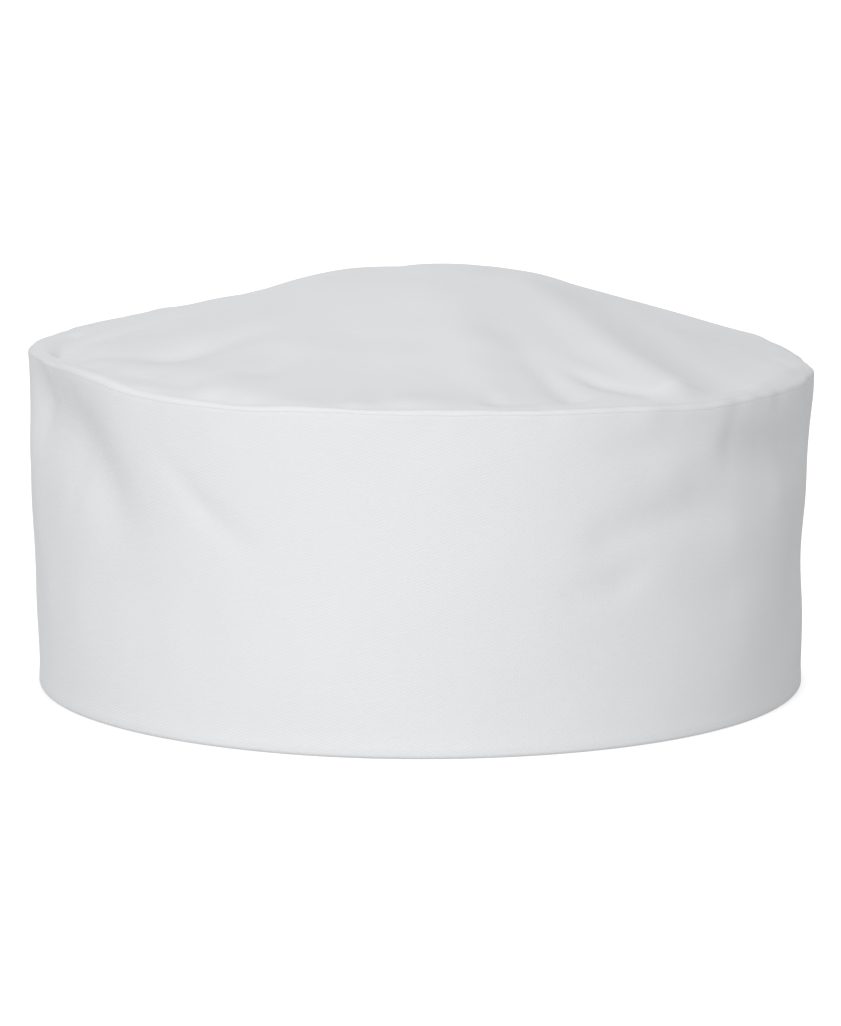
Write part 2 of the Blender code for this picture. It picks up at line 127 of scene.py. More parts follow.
# Soft folds of the band: points as (degrees round from the front, height in mm), then half widths and
# depths in mm, spread evenly from the line's first point to its last.
BAND_FOLDS = (
    (
        ((-76, 69), (-64, 67), (-56, 62), (-51, 55), (-48, 48), (-46, 38)),
        (10, 10, 9, 9), (-4.4, -3.8, -2.4, -0.3),
    ),
    (((-82, 58), (-78, 44), (-72, 26)), (9, 9), (0.9, 0.4)),
    (((-61, 62), (-55, 50), (-50, 36)), (16, 16), (-2.0, -1.0)),
    (((-40, 67), (-33, 56), (-28, 50), (-23, 44)), (3, 3, 4), (-0.1, -0.7, -0.1)),
    (((51, 69), (58, 67), (66, 65), (76, 62), (84, 60)), (5.5, 6, 7, 8), (-1.6, -2.8, -3.2, -2.2, -0.2)),
    (((52, 58), (62, 55), (74, 53)), (5, 5, 5), (0.2, 0.7, 0.2)),
    (((24, 69), (32, 71), (42, 71)), (4, 5), (-0.1, -0.6, -0.4)),
    (((27, 50), (34, 53), (42, 55), (58, 53)), (5, 6), (-0.7, -1.2, -0.4)),
    (((44, 51), (50, 49), (58, 42)), (6, 7), (0.2, 0.7, 0.2)),
    (((23, 37), (29, 39), (35, 45)), (4.5, 4.5), (-0.3, -0.7, -0.2)),
    (((38, 32), (48, 34), (62, 36)), (6, 6), (0, -0.5, 0)),
    (((37, 65), (43, 70)), (5, 5), (0.3, 0.3)),
    (((88, 74), (92, 68)), (10, 10), (1.0, 0.8)),
    (((76, 33), (104, 33)), (14, 14), (-1.3, -1.3)),
    (((-90, 42), (-90, 24)), (12, 12), (0.5, 0.5)),
    (((98, 70), (106, 64), (118, 52), (130, 32)), (7, 8), (-0.2, -1.3, -1.0, -0.1)),
    (((-104, 74), (-110, 68), (-120, 58), (-132, 40)), (7, 8), (-0.2, -1.2, -1.0, -0.1)),
)

# Folds of the crown, in the same terms, with points as (x, y) in mm from the oval's centre.
CROWN_FOLDS = (
    (((-89, -30), (-87, -14), (-84, 6)), (2.6, 3), (-1.8, -1.2)),
    (((-88, -18), (-79, -11), (-66, -8), (-50, -6)), (3, 4, 5), (-1.8, -1.2, -0.1)),
    (((-80, -30), (-66, -52), (-46, -72)), (6, 6), (1.1, 1.0)),
    (((-75, -29), (-66, -33), (-54, -33), (-38, -24)), (7, 7, 7), (1.3, 1.0, 0.2)),
    (((-76, -42), (-61, -49), (-51, -47), (-36, -38)), (4, 5, 6), (-0.4, -1.3, -0.2)),
    (((-53, -72), (-37, -70), (-26, -57)), (4.5, 6), (-0.3, -0.9, -0.1)),
    (((6, -52), (12, -70), (16, -84)), (7, 6), (0.3, 0.7)),
    (((9, -31), (17, -47), (24, -62), (30, -76), (34, -84)), (7, 5, 4), (-0.1, -0.7, -1.3)),
    (((14, -85), (17, -94)), (3, 3), (-0.2, -0.8)),
    (((28, -60), (34, -66), (41, -72), (54, -79)), (3, 3, 3), (-0.1, -1.1, -0.4)),
    (((22, -11), (35, -33), (48, -54), (60, -72)), (9, 8, 7), (1.4, 2.2, 3.0)),
    (((42, -14), (56, -34), (70, -52)), (13, 11), (-1.3, -1.3)),
    (((66, -5), (80, -9), (92, -17)), (4, 3), (-0.1, -0.9)),
    (((-68, 36), (-86, 34)), (12, 14), (-1.2, -1.2)),
    (((42, 28), (66, 28)), (13, 13), (0.8, 0.8)),
    (((-24, 32), (-44, 58), (-58, 70)), (6, 6), (-0.1, -0.8, -0.9)),
    (((8, 38), (16, 62), (18, 82)), (6, 6), (-0.1, -0.8, -1.0)),
    (((38, 36), (60, 50), (72, 58)), (6, 6), (-0.1, -0.6, -0.9)),
)
DOME_SHIFT = 5.5 * MM  # the crown's top leans this far towards +X

# Height of the crown's face over its roll at the seam, by mean radius, both in mm.
CROWN_PROFILE = (
    (0, 21.7), (8, 21.4), (16, 19.9), (24, 18.5), (32, 16.7), (46, 12.8), (60, 8.9), (75, 4.9),
    (86, 2.4), (90, 1.7), (93.5, 0.9), (96, 0),
)
CROWN_EDGE_RADIUS = 1.3 * MM
CROWN_FOLD_RADIUS = 0.06 * MM
CROWN_EDGE_TURN = math.radians(69)  # where the roll meets the crown's face
BAND_CURL = 0.06 * MM  # turn of the band's top edge into the seam
SEAM_SINK = 0.3 * MM  # how far the crown sits down into the seam

# How finely the cloth is meshed.
AROUND = 440
CROWN_GRID = 168
CROWN_ROLL_STEPS = 9
TUCKED_ROWS = 7  # of the band's mesh, whose cloth is turned in at the seam

# The studio: levels of light, and where the floor's extra glow to the camera begins, from the cap's axis;
# nearer the axis the floor is left darker to the camera, a painted shadow under the cap.
WORLD_GLOW = 0.25
WORLD_LOBES = ((0, -0.27, 0), (-0.16, 0, 0.57))  # ways that brighter parts of the surround face
FLOOR_GLOW, FLOOR_GLOW_SEEN = 0.30, 0.60
PAINTED_SHADOW_FADE_START, PAINTED_SHADOW_END = 80 * MM, 102 * MM


# ---------------------------------------------------------------- the wall


def ripples(wavelength, seed, *place, waves=16):
    """A smooth random surface of about unit height at places in two or three axes, from plane waves."""
    rng = np.random.default_rng(seed)
    total = 0.0
    for _ in range(waves):
        way = rng.normal(size=len(place))
        way *= 2 * math.pi / wavelength * rng.uniform(0.7, 1.3) / np.linalg.norm(way)
        total = total + np.sin(sum(k * p for k, p in zip(way, place)) + 2 * math.pi * rng.random())
    return total / math.sqrt(waves / 2)


def wall_ripples(wavelength, seed, angle, height):
    """Ripples that go round the wall without a break."""
    return ripples(wavelength, seed, MEAN_RADIUS * np.sin(angle), MEAN_RADIUS * np.cos(angle), height)


def line_distance(u, v, points):
    """Distance from each (u, v) to a line through the points, and how far along the line that is, 0 to 1."""
    best = np.full(np.broadcast(u, v).shape, 1e9)
    along = np.zeros(best.shape)
    lengths = [math.dist(a, b) for a, b in zip(points, points[1:])]
    start = 0.0
    for (ua, va), (ub, vb), length in zip(points, points[1:], lengths):
        du, dv = ub - ua, vb - va
        share = np.clip(((u - ua) * du + (v - va) * dv) / length**2, 0, 1)
        distance = np.hypot(u - ua - share * du, v - va - share * dv)
        along = np.where(distance < best, (start + share * length) / sum(lengths), along)
        best = np.minimum(best, distance)
        start += length
    return best, along


def folds(u, v, lines):
    """Sum of creases, each a line with its half widths and depths, all in the same unit as u and v."""
    total = np.zeros(np.broadcast(u, v).shape)
    for points, widths, depths in lines:
        distance, along = line_distance(u, v, points)
        width = np.interp(along, np.linspace(0, 1, len(widths)), widths)
        depth = np.interp(along, np.linspace(0, 1, len(depths)), depths)
        total += depth * np.exp(-((distance / width) ** 2))
    return total


def smooth_step(value, start, end):
    """Eases from 0 at the start to 1 at the end."""
    share = np.clip((value - start) / (end - start), 0, 1)
    return share * share * (3 - 2 * share)


MM_PER_DEGREE = MEAN_RADIUS / MM * math.pi / 180
WALL_LINES = tuple(
    (tuple((turn * MM_PER_DEGREE, height) for turn, height in points), widths, depths)
    for points, widths, depths in BAND_FOLDS
)


def wall_relief(angle, height):
    """How far soft folds move the wall outwards. The back, with its closure, stays smooth."""
    arc = (math.pi - np.mod(angle, 2 * math.pi)) * MEAN_RADIUS
    soft = folds(arc / MM, height / MM, WALL_LINES) * MM
    soft = soft + 0.25 * MM * wall_ripples(58 * MM, 3, angle, height)
    soft = soft + 0.05 * MM * wall_ripples(20 * MM, 5, angle, height)
    from_back = math.pi * MEAN_RADIUS - np.abs(arc)
    calm = smooth_step(from_back, 90 * MM, 125 * MM)
    near_hem = 0.25 + 0.75 * smooth_step(height, 0, 16 * MM)
    hem_swell = 0.25 * MM * np.exp(-(((height - 1.4 * MM) / (2.2 * MM)) ** 2))
    from_join = np.mod(angle + math.pi, 2 * math.pi) * MEAN_RADIUS - math.pi * MEAN_RADIUS
    join = BACK_JOIN_DEPTH * np.exp(-((from_join / (1.6 * MM)) ** 2)) * smooth_step(height, 40 * MM, 48 * MM)
    return soft * calm * near_hem + hem_swell - join


def wall(angle, height, offset):
    """Points on the wall, as an array whose last axis is x, y, z."""
    angle, height, offset = np.broadcast_arrays(
        np.asarray(angle, float), np.asarray(height, float), np.asarray(offset, float)
    )
    radius = MEAN_RADIUS - HEM_TAPER * (1 - height / BAND_HEIGHT) + offset
    radius = radius + wall_relief(angle, height)
    return oval(angle, radius, height)


def oval(angle, radius, height):
    """Points at a mean radius, spread to the oval, and leaned with the seam's slight tilt."""
    x = radius * HALF_WIDTH / MEAN_RADIUS * np.sin(angle)
    y = radius * HALF_DEPTH / MEAN_RADIUS * np.cos(angle) + CENTRE_Y
    z = height - SEAM_TILT * x / HALF_WIDTH * smooth_step(height, 0, BAND_HEIGHT)
    return np.stack([x, y, z], axis=-1)


def at_back(arc):
    """Angle of a place near the centre back, from its distance along the wall towards +X."""
    return np.asarray(arc, float) / HALF_WIDTH


# ---------------------------------------------------------------- meshes


def grid_mesh(name, points, uv, wrap=False):
    """A mesh through rows of points. With wrap, each row closes on itself and uv has a column more."""
    rows, columns = points.shape[:2]
    spans = columns if wrap else columns - 1
    r, c = np.meshgrid(np.arange(rows - 1), np.arange(spans), indexing="ij")
    after = (c + 1) % columns
    faces = np.stack(
        [r * columns + c, (r + 1) * columns + c, (r + 1) * columns + after, r * columns + after], -1
    ).reshape(-1, 4)
    mesh = bpy.data.meshes.new(name)
    mesh.from_pydata(points.reshape(-1, 3).tolist(), [], faces.tolist())
    corners = np.stack([uv[r, c], uv[r + 1, c], uv[r + 1, c + 1], uv[r, c + 1]], 2)
    mesh.uv_layers.new(name="cloth").data.foreach_set("uv", corners.astype(np.float32).ravel())
    mesh.shade_smooth()
    return mesh


def add_piece(name, mesh, finish, body=None, thickness=None):
    """Adds a piece to the scene, thickened to both sides when it is a sheet, on its body."""
    piece = bpy.data.objects.new(name, mesh)
    bpy.context.scene.collection.objects.link(piece)
    piece.data.materials.append(finish)
    if thickness:
        solid = piece.modifiers.new("ply", "SOLIDIFY")
        solid.thickness = thickness
        solid.offset = 0
    if body:
        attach(piece, body)
    return piece


def tube_rows(centres, radii, sides):
    """Rows of points round a line of centres, for a thread, a hook or a loop."""
    along = np.gradient(centres, axis=0)
    along /= np.linalg.norm(along, axis=1)[:, None]
    aside = np.cross(along, np.array([0.31, 0.23, 0.92]))
    aside /= np.linalg.norm(aside, axis=1)[:, None]
    above = np.cross(along, aside)
    turns = 2 * math.pi * np.arange(sides) / sides
    ring = np.cos(turns)[None, :, None] * aside[:, None] + np.sin(turns)[None, :, None] * above[:, None]
    return centres[:, None] + ring * np.asarray(radii)[:, None, None]


def tubes_mesh(name, tubes, sides):
    """One mesh of many capped tubes, each given as (centres, radii)."""
    points, faces, start = [], [], 0
    for centres, radii in tubes:
        rows = tube_rows(centres, radii, sides)
        count = len(centres)
        points.append(rows.reshape(-1, 3))
        r, c = np.meshgrid(np.arange(count - 1), np.arange(sides), indexing="ij")
        after = (c + 1) % sides
        quads = np.stack(
            [r * sides + c, r * sides + after, (r + 1) * sides + after, (r + 1) * sides + c], -1
        )
        faces += (quads.reshape(-1, 4) + start).tolist()
        faces.append([start + k for k in reversed(range(sides))])
        faces.append([start + (count - 1) * sides + k for k in range(sides)])
        start += count * sides
    mesh = bpy.data.meshes.new(name)
    mesh.from_pydata(np.concatenate(points).tolist(), [], faces)
    mesh.shade_smooth()
    return mesh


def reach_along(line):
    """How far along a polyline each of its points lies."""
    return np.concatenate([[0], np.cumsum(np.linalg.norm(np.diff(line, axis=0), axis=1))])


def spread_along(line, values, count):
    """Values at a polyline's points, read again at even steps along it."""
    reach = reach_along(line)
    marks = np.linspace(0, reach[-1], count)
    return np.stack([np.interp(marks, reach, values[:, k]) for k in range(3)], -1)


def even_points(line, pitch):
    """Evenly spaced points along a polyline, at about one pitch."""
    return spread_along(line, line, max(1, round(reach_along(line)[-1] / pitch)) + 1)


def stitch_row(name, line, normals, body, pitch=2.6 * MM, radius=0.2 * MM):
    """A row of separate stitches along a line on the cloth. Each one arches and dips into its holes."""
    holes = even_points(line, pitch)
    out = even_normals(line, normals, len(holes))
    share = np.linspace(0, 1, 7)
    arch = 0.55 * radius * np.sin(math.pi * share) - 1.1 * radius * np.abs(2 * share - 1) ** 5
    widths = radius * (0.72 + 0.28 * np.sin(math.pi * share) ** 0.5)
    tubes = []
    for k in range(len(holes) - 1):
        a, b = holes[k], holes[k + 1]
        inset = 0.06 * (b - a)
        centres = (a + inset) + share[:, None] * (b - a - 2 * inset)
        centres = centres + arch[:, None] * (out[k] + out[k + 1])[None] / 2
        tubes.append((centres, widths))
    return add_piece(name, tubes_mesh(name, tubes, 6), THREAD, body)


def even_normals(line, normals, count):
    """Unit normals at evenly spaced points along a polyline."""
    out = spread_along(line, normals, count)
    return out / np.linalg.norm(out, axis=1)[:, None]


def wall_line(angle, height, offset):
    """A line on the wall and the wall's outward normals along it."""
    line = wall(angle, height, offset)
    ahead = wall(np.asarray(angle) + 1e-3, height, offset) - line
    above = wall(angle, np.asarray(height) + 0.2 * MM, offset) - line
    out = np.cross(above, ahead)
    out /= np.linalg.norm(out, axis=-1)[..., None]
    return line, out


# ---------------------------------------------------------------- materials


class Nodes:
    """A short way to build the node tree of a material or of the world."""

    def __init__(self, owner, shader="Principled BSDF"):
        owner.use_nodes = True
        self.owner = owner
        self.tree = owner.node_tree
        self.shader = self.tree.nodes[shader]

    def set(self, **values):
        """Sets plain values on the shader's own sockets."""
        for key, value in values.items():
            self.shader.inputs[key.replace("_", " ")].default_value = value

    def add(self, kind, **settings):
        node = self.tree.nodes.new(kind)
        for key, value in settings.items():
            if hasattr(node, key):
                setattr(node, key, value)
            else:
                node.inputs[key.replace("_", " ")].default_value = value
        return node

    def link(self, source, target):
        self.tree.links.new(source, target)

    def math(self, operation, a, b=None):
        node = self.add("ShaderNodeMath", operation=operation)
        for socket, value in zip(node.inputs, (a, b)):
            if value is None:
                continue
            if isinstance(value, (int, float)):
                socket.default_value = value
            else:
                self.link(value, socket)
        return node.outputs[0]

    def noise(self, coordinates, scale, detail=2.0, roughness=0.5):
        node = self.add("ShaderNodeTexNoise", Scale=scale, Detail=detail, Roughness=roughness)
        self.link(coordinates, node.inputs["Vector"])
        return node.outputs["Fac"]

    def bands(self, coordinates, period, turn, distortion=0.0):
        """Evenly spaced ribs across the cloth, turned by an angle in degrees."""
        place = self.add("ShaderNodeMapping")
        place.inputs["Rotation"].default_value = (0, 0, math.radians(turn))
        self.link(coordinates, place.inputs["Vector"])
        wave = self.add("ShaderNodeTexWave", wave_type="BANDS", bands_direction="X")
        wave.inputs["Scale"].default_value = math.pi / 10 / period
        wave.inputs["Distortion"].default_value = distortion
        wave.inputs["Detail"].default_value = 1.0
        wave.inputs["Detail Scale"].default_value = 0.35
        self.link(place.outputs["Vector"], wave.inputs["Vector"])
        return wave.outputs["Fac"]

    def tint(self, amount, low, high):
        """The base colour, between two colours, by a value from 0 to 1."""
        ramp = self.add("ShaderNodeValToRGB")
        ramp.color_ramp.elements[0].color = (*low, 1)
        ramp.color_ramp.elements[1].color = (*high, 1)
        self.link(amount, ramp.inputs["Fac"])
        self.link(ramp.outputs["Color"], self.shader.inputs["Base Color"])

    def bump(self, height, distance):
        node = self.add("ShaderNodeBump", Distance=distance)
        self.link(height, node.inputs["Height"])
        self.link(node.outputs["Normal"], self.shader.inputs["Normal"])


def cloth_material(name, low, high, ribs, cross, depth, roughness, sheen, patch=0.35):
    """Woven cloth: ribs and crossing yarns as (period, turn), slubs, and faint patches in its colour. The
    colour follows the weave's height, so its grooves are painted shade.
    """
    nodes = Nodes(bpy.data.materials.new(name))
    place = nodes.add("ShaderNodeTexCoord").outputs["UV"]
    rib = nodes.bands(place, *ribs, distortion=0.6)
    yarn = nodes.bands(place, *cross, distortion=0.6)
    slub = nodes.noise(place, 2600, detail=3.0)
    cloud = nodes.noise(place, 38, detail=3.0)
    weave = nodes.math("ADD", nodes.math("MULTIPLY", rib, 0.8), nodes.math("MULTIPLY", yarn, 0.2))
    height = nodes.math("ADD", nodes.math("MULTIPLY", weave, 0.7), nodes.math("MULTIPLY", slub, 0.45))
    # Base colour: lighter on the weave's raised ribs and darker in its grooves, which is painted shade. The
    # slubs and the cloud add random tone.
    painted_shade_and_tone = nodes.math("ADD", nodes.math("MULTIPLY", height, 1 - patch), nodes.math("MULTIPLY", cloud, patch))
    nodes.tint(painted_shade_and_tone, low, high)
    nodes.bump(height, depth)
    nodes.set(Roughness=roughness, Specular_IOR_Level=0.25, Sheen_Weight=sheen, Sheen_Roughness=0.5)
    return nodes.owner


def terry_material():
    """Looped towelling: close small bumps over soft uneven rows, painted darker in the hollows between the
    loops as painted shade.
    """
    nodes = Nodes(bpy.data.materials.new("terry"))
    place = nodes.add("ShaderNodeTexCoord").outputs["UV"]
    loops = nodes.add("ShaderNodeTexVoronoi", Scale=1500.0)
    nodes.link(place, loops.inputs["Vector"])
    fluff = nodes.noise(place, 900, detail=4.0)
    height = nodes.math("SUBTRACT", nodes.math("MULTIPLY", fluff, 0.8), loops.outputs["Distance"])
    # The hollows between the loops are painted darker, which is painted shade; the fluff adds random tone.
    painted_hollow_shade = nodes.math("MULTIPLY", loops.outputs["Distance"], -0.4)
    painted_shade_and_tone = nodes.math("ADD", nodes.math("MULTIPLY", fluff, 0.7), painted_hollow_shade)
    nodes.tint(painted_shade_and_tone, (0.80, 0.80, 0.78), (0.93, 0.93, 0.92))
    nodes.bump(height, 0.4 * MM)
    nodes.set(Roughness=0.95, Sheen_Weight=0.5)
    return nodes.owner


def thread_material():
    """Spun thread: a twist that shows as fine slanting lines, painted darker in the twist's grooves as
    painted shade.
    """
    nodes = Nodes(bpy.data.materials.new("thread"))
    place = nodes.add("ShaderNodeTexCoord").outputs["Object"]
    twist = nodes.bands(place, 0.25 * MM, 35)
    # The twist's grooves get a darker base colour, which is painted shade following the bump's pattern.
    nodes.tint(twist, (0.80, 0.81, 0.82), (0.92, 0.92, 0.92))
    nodes.bump(twist, 0.05 * MM)
    nodes.set(Roughness=0.55, Sheen_Weight=0.2)
    return nodes.owner


def nylon_material(name, low, high):
    """Nylon hooks and loops: slightly see-through, with a soft gloss."""
    nodes = Nodes(bpy.data.materials.new(name))
    place = nodes.add("ShaderNodeTexCoord").outputs["Object"]
    nodes.tint(nodes.noise(place, 700), low, high)
    nodes.set(Roughness=0.4, Subsurface_Weight=0.1, Subsurface_Scale=0.5 * MM)
    return nodes.owner


TWILL = cloth_material(
    "twill", (0.735, 0.745, 0.76), (0.78, 0.79, 0.80), (0.68 * MM, -67), (0.36 * MM, 0), 0.035 * MM, 0.9, 0.15
)
TAPE = cloth_material(
    "tape", (0.70, 0.71, 0.72), (0.82, 0.83, 0.84), (0.45 * MM, 45), (0.45 * MM, -45), 0.06 * MM, 0.8, 0.1
)
STIFFENER = cloth_material(
    "stiffener", (0.72, 0.72, 0.70), (0.84, 0.84, 0.81), (0.9 * MM, 20), (1.3 * MM, -50), 0.1 * MM, 0.9, 0.0
)
RIBBON = cloth_material(
    "label", (0.82, 0.82, 0.82), (0.90, 0.90, 0.90), (0.22 * MM, 0), (0.3 * MM, 90), 0.02 * MM, 0.45, 0.0
)
TAPE_BACK = cloth_material(
    "hook_and_loop_back", (0.72, 0.73, 0.74), (0.84, 0.85, 0.86), (0.8 * MM, 0), (0.8 * MM, 90),
    0.1 * MM, 0.7, 0.1,
)
TERRY = terry_material()
THREAD = thread_material()
LOOPS = nylon_material("loops", (0.74, 0.75, 0.76), (0.88, 0.89, 0.90))
HOOKS = nylon_material("hooks", (0.66, 0.67, 0.68), (0.80, 0.81, 0.82))


# ---------------------------------------------------------------- band


def arch_edge(count):
    """Points (arc, height) along the arch's edge from -X to +X, and the way into the cloth at each."""
    straight = ARCH_STRAIGHT
    total = 2 * straight + math.pi * ARCH_HALF_WIDTH
    arcs, heights, ways = [], [], []
    for reach in np.linspace(0, total, count):
        if reach < straight:
            arcs.append(-ARCH_HALF_WIDTH)
            heights.append(reach)
            ways.append((-1.0, 0.0))
        elif reach > total - straight:
            arcs.append(ARCH_HALF_WIDTH)
            heights.append(total - reach)
            ways.append((1.0, 0.0))
        else:
            turn = math.pi - (reach - straight) / ARCH_HALF_WIDTH
            arcs.append(ARCH_HALF_WIDTH * math.cos(turn))
            heights.append(straight + ARCH_HALF_WIDTH * math.sin(turn))
            ways.append((math.cos(turn), math.sin(turn)))
    return np.array(arcs), np.array(heights), np.array(ways)


def band_columns():
    """The lower end of each column of the band's mesh, its way out of the cloth, and its upper end.

    Columns start on the hem, or on the arch's edge, and fan out from there to the seam.
    """
    arch_count = round(AROUND * (2 * ARCH_STRAIGHT + math.pi * ARCH_HALF_WIDTH) / (2 * math.pi * MEAN_RADIUS))
    arcs, heights, ways = arch_edge(arch_count)
    hem_count = AROUND - arch_count
    hem_start, fan = ARCH_HALF_WIDTH / HALF_WIDTH, 60 * MM / HALF_WIDTH
    hem = np.linspace(hem_start, 2 * math.pi - hem_start, hem_count + 2)[1:-1]
    foot = np.concatenate([arcs / HALF_WIDTH, hem])
    foot_height = np.concatenate([np.maximum(heights, WALL / 2), np.zeros(hem_count)])
    out = np.concatenate([-ways, np.tile((0.0, -1.0), (hem_count, 1))])
    arch_top = np.linspace(-fan, fan, arch_count)
    from_side = np.minimum(hem, 2 * math.pi - hem) - hem_start
    push = (fan - hem_start) * np.exp(-from_side / 0.55)
    hem_top = np.where(hem < math.pi, hem + push, hem - push)
    return foot, foot_height, out, np.concatenate([arch_top, hem_top])


def band_rows():
    """Rows of the band's mesh down the outer ply, round the hem's fold and up the inner ply.

    Each row is (share of the way up its column, distance out of the cloth, offset, drop at the seam).
    """
    middle = -PLY / 2
    bend = (WALL - PLY) / 2
    curl = BAND_CURL
    rows = [(1.0, 0.0, middle - curl - d * MM, 0.0) for d in (1.0, 0.5, 0.15)]
    for turn in np.linspace(math.pi / 2, 0, 5):
        rows.append((1.0, 0.0, middle - curl + curl * math.cos(turn), curl * (1 - math.sin(turn))))
    shares = 1 - np.linspace(0, 1, 60) ** 1.15
    rows += [(share, 0.0, middle, curl * share) for share in shares[1:]]
    for turn in np.linspace(0, math.pi, 10)[1:]:
        rows.append((0.0, bend * math.sin(turn), middle - bend * (1 - math.cos(turn)), 0.0))
    rows += [(share, 0.0, middle - 2 * bend, 1.0 * MM * share) for share in np.linspace(0, 1, 20)[1:]]
    return np.array(rows)


def round_table(table, angle):
    """A value that changes round the cap, from a table by degrees from the front."""
    turn = np.degrees(math.pi - np.mod(angle, 2 * math.pi))
    taps = np.linspace(-4, 4, 5)
    return sum(np.interp(turn + tap, *np.array(table).T) for tap in taps) / len(taps)


def roll_plumpness(angle):
    return round_table(ROLL_PLUMPNESS, angle) * (1 + 0.1 * wall_ripples(24 * MM, 13, angle, 0))


def seam_waver(angle):
    """How the crown seam wanders up and down, in a slightly puckered line of stitching."""
    drift = round_table(SEAM_DRIFT, angle) * MM
    waves = 0.20 * MM * wall_ripples(44 * MM, 11, angle, 0)
    return drift + waves + 0.07 * MM * wall_ripples(12 * MM, 12, angle, 0)


def seam_pucker(angle, depth):
    """The cloth's small in-and-out waves beside the crown seam, which die away from it."""
    waves = wall_ripples(10 * MM, 21, angle, 0.6 * depth)
    return 0.09 * MM * waves * np.exp(-np.maximum(depth, 0) / (4.5 * MM))


def wrapped_uv(angle, height):
    """The cloth's own places for a sheet all round the wall, with the column that closes it."""
    wide = np.concatenate([angle, angle[:, :1] + 2 * math.pi], 1) * MEAN_RADIUS
    return wide, np.concatenate([height, height[:, :1]], 1)


def make_band():
    """The doubled twill band, one sheet folded at the hem and cut out round the arch."""
    foot, foot_height, out, top = band_columns()
    rows = band_rows()
    share, outwards, offset, drop = (rows[:, k, None] for k in range(4))
    lift = WALL / 2
    start = foot_height[None] - lift * out[None, :, 1]
    angle = foot[None] + (top - foot)[None] * share + outwards * out[None, :, 0] / HALF_WIDTH
    angle = angle - (1 - share) * lift * out[None, :, 0] / HALF_WIDTH
    height = start + (BAND_TOP - PLY / 2 + 0.6 * MM + seam_waver(top)[None] - start) * share
    height = height + outwards * out[None, :, 1] - drop
    near_seam = seam_pucker(angle, (1 - share) * BAND_HEIGHT + drop)
    points = wall(angle, height, offset + near_seam)
    wide, down = wrapped_uv(angle, height)
    inner_ply = (offset < -PLY) & (np.arange(len(rows))[:, None] >= TUCKED_ROWS)
    folded = np.where(inner_ply, -down, down)
    mesh = grid_mesh("side_band", points, np.stack([wide, folded], -1), wrap=True)
    band = add_piece("side_band_twill", mesh, TWILL, "cap", PLY)
    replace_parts(band, "side_band")


def make_interfacing():
    """The stiffener between the band's plies, which follows their folds."""
    foot, foot_height, out, top = band_columns()
    share = np.linspace(0, 1, 24)[:, None]
    inset = 1.6 * MM
    start = foot_height - inset * out[:, 1]
    angle = foot - inset * out[:, 0] / HALF_WIDTH * (1 - share) + (top - foot) * share
    height = start + (BAND_TOP - 1.8 * MM - start) * share
    points = wall(angle, height, -WALL / 2)
    mesh = grid_mesh("band_interfacing", points, np.stack(wrapped_uv(angle, height), -1), wrap=True)
    sheet = add_piece("band_interfacing_sheet", mesh, STIFFENER, "cap", STIFFENER_PLY)
    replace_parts(sheet, "band_interfacing")


# ---------------------------------------------------------------- crown


def smooth_curve(points, value):
    """A smooth line through points, in millimetres, with its slope continuous."""
    across, up = np.array(points, float).T
    slope = np.gradient(up, across)
    slope[0] = 0
    value = np.clip(value / MM, across[0], across[-1])
    k = np.clip(np.searchsorted(across, value, side="right") - 1, 0, len(across) - 2)
    span = across[k + 1] - across[k]
    t = (value - across[k]) / span
    start = (1 + 2 * t) * (1 - t) ** 2 * up[k] + t * (1 - t) ** 2 * span * slope[k]
    end = t * t * (3 - 2 * t) * up[k + 1] + t * t * (t - 1) * span * slope[k + 1]
    return (start + end) * MM


def crown_rise(reach, x, y):
    """Height of the crown's face over its roll at the seam, with its folds, which fade at the seam."""
    rise = smooth_curve(CROWN_PROFILE, reach * CROWN_PROFILE[-1][0] * MM)
    free = smooth_step((1 - reach) * MEAN_RADIUS, 0, 6 * MM)
    relief = folds(x / MM, y / MM, CROWN_FOLDS) * MM
    relief = relief + 0.30 * MM * ripples(48 * MM, 31, x, y) + 0.07 * MM * ripples(17 * MM, 32, x, y)
    return rise, relief * free


def crown_path():
    """Middle of the crown's cloth from its face over the rim and down inside: (offset, height)."""
    rim, fold = -PLY / 2, CROWN_FOLD_RADIUS
    seat = BAND_HEIGHT + GAP + PLY / 2 - SEAM_SINK
    roll = seat + fold
    inside = -WALL - 2 * GAP - TAPE_PLY - PLY / 2
    path = []
    for turn in np.linspace(CROWN_EDGE_TURN, 0, CROWN_ROLL_STEPS):
        back = CROWN_EDGE_RADIUS * (1 - math.cos(turn))
        path.append((rim - back, roll + 0.75 * CROWN_EDGE_RADIUS * math.sin(turn)))
    for turn in np.linspace(0, -math.pi / 2, 4)[1:]:
        path.append((rim - fold + fold * math.cos(turn), roll + fold * math.sin(turn)))
    for turn in np.linspace(math.pi / 2, math.pi, 4):
        path.append((inside + fold + fold * math.cos(turn), seat - fold + fold * math.sin(turn)))
    path += [(inside, height) for height in np.linspace(seat - fold, BAND_HEIGHT - SEAM_ALLOWANCE, 5)[1:]]
    return np.array(path)


def crown_disc():
    """Points of a square grid spread over the unit disc, and the order of its edge, counted from the back."""
    n = CROWN_GRID
    side = np.linspace(-1, 1, n + 1)
    gx, gy = np.meshgrid(side, side)
    x, y = gx * np.sqrt(1 - gy**2 / 2), gy * np.sqrt(1 - gx**2 / 2)
    index = np.arange((n + 1) ** 2).reshape(n + 1, n + 1)
    edge = np.concatenate([index[0, :-1], index[:-1, -1], index[-1, :0:-1], index[:0:-1, 0]])
    faces = np.stack([index[:-1, :-1], index[:-1, 1:], index[1:, 1:], index[1:, :-1]], -1).reshape(-1, 4)
    return x.ravel(), y.ravel(), edge, faces


